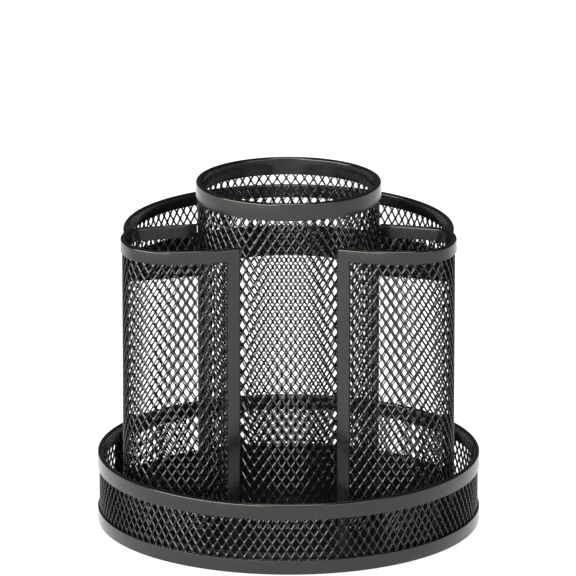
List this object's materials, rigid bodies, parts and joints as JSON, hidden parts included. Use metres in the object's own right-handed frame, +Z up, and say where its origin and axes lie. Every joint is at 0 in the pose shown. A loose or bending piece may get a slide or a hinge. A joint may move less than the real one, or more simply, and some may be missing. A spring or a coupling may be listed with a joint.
{
  "type": "rotating desk organizer",
  "caption": "Round black steel-mesh desk organizer with a tall centre cup, two front pockets, a raised rear compartment and a rimmed tray that spins on a ball bearing.",
  "frame": {"origin": "on the spin axis, in the plane of the rubber feet's undersides", "axes": "+Z up along the spin axis; the open front of the tray, between the two front pockets, faces -Y; the raised rear compartment is towards +Y; +X to the right seen from the front"},
  "size_m": [0.165, 0.165, 0.1524],
  "materials": {
    "band_paint": "black satin powder coat on folded sheet steel",
    "mesh_paint": "black satin powder coat on expanded steel mesh",
    "floor_paint": "black satin powder coat on pressed sheet steel",
    "zinc_steel": "bright zinc-plated pressed steel",
    "black_steel": "black-oxide steel rivets and washer",
    "ball_steel": "polished bearing steel",
    "cage_plastic": "natural moulded plastic",
    "rubber_feet": "matte non-slip rubber"
  },
  "bodies": {
    "fixed_base": {"rubber_foot_1": "rubber_feet", "rubber_foot_2": "rubber_feet", "rubber_foot_3": "rubber_feet", "rubber_foot_4": "rubber_feet", "base_plate": "zinc_steel", "lower_race": "zinc_steel", "pivot_pin": "black_steel", "base_rivet_1": "zinc_steel", "base_rivet_2": "zinc_steel", "base_rivet_3": "zinc_steel", "base_rivet_4": "zinc_steel"},
    "ball_train": {"ball_cage": "cage_plastic", "bearing_ball_1": "ball_steel", "bearing_ball_2": "ball_steel", "bearing_ball_3": "ball_steel", "bearing_ball_4": "ball_steel", "bearing_ball_5": "ball_steel", "bearing_ball_6": "ball_steel", "bearing_ball_7": "ball_steel", "bearing_ball_8": "ball_steel", "bearing_ball_9": "ball_steel", "bearing_ball_10": "ball_steel", "bearing_ball_11": "ball_steel", "bearing_ball_12": "ball_steel"},
    "turntable": {"upper_race": "zinc_steel", "pivot_washer": "black_steel", "floor_rivet_1": "black_steel", "floor_rivet_2": "black_steel", "floor_rivet_3": "black_steel", "floor_rivet_4": "black_steel", "tray_floor": "floor_paint", "tray_mesh_wall": "mesh_paint", "tray_rim_band": "band_paint", "tray_base_band": "band_paint", "tray_seam_strip": "band_paint", "cup_mesh_wall": "mesh_paint", "cup_rim_band": "band_paint", "left_pocket_mesh_wall": "mesh_paint", "left_pocket_rim_band": "band_paint", "left_pocket_post": "band_paint", "right_pocket_mesh_wall": "mesh_paint", "right_pocket_rim_band": "band_paint", "right_pocket_post": "band_paint", "rear_mesh_wall": "mesh_paint", "rear_rim_band": "band_paint", "rear_shelf": "floor_paint"}
  },
  "joints": [
    {"name": "spin", "type": "hinge", "parent": "fixed_base", "child": "turntable", "pos_m": [0, 0, 0.0068], "axis": [0, 0, 1], "continuous": true},
    {"name": "ball_roll", "type": "hinge", "parent": "fixed_base", "child": "ball_train", "pos_m": [0, 0, 0.00465], "axis": [0, 0, 1], "continuous": true}
  ],
  "couplings": [
    {"joint": "ball_roll", "follows": "spin", "ratio": 0.5}
  ]
}
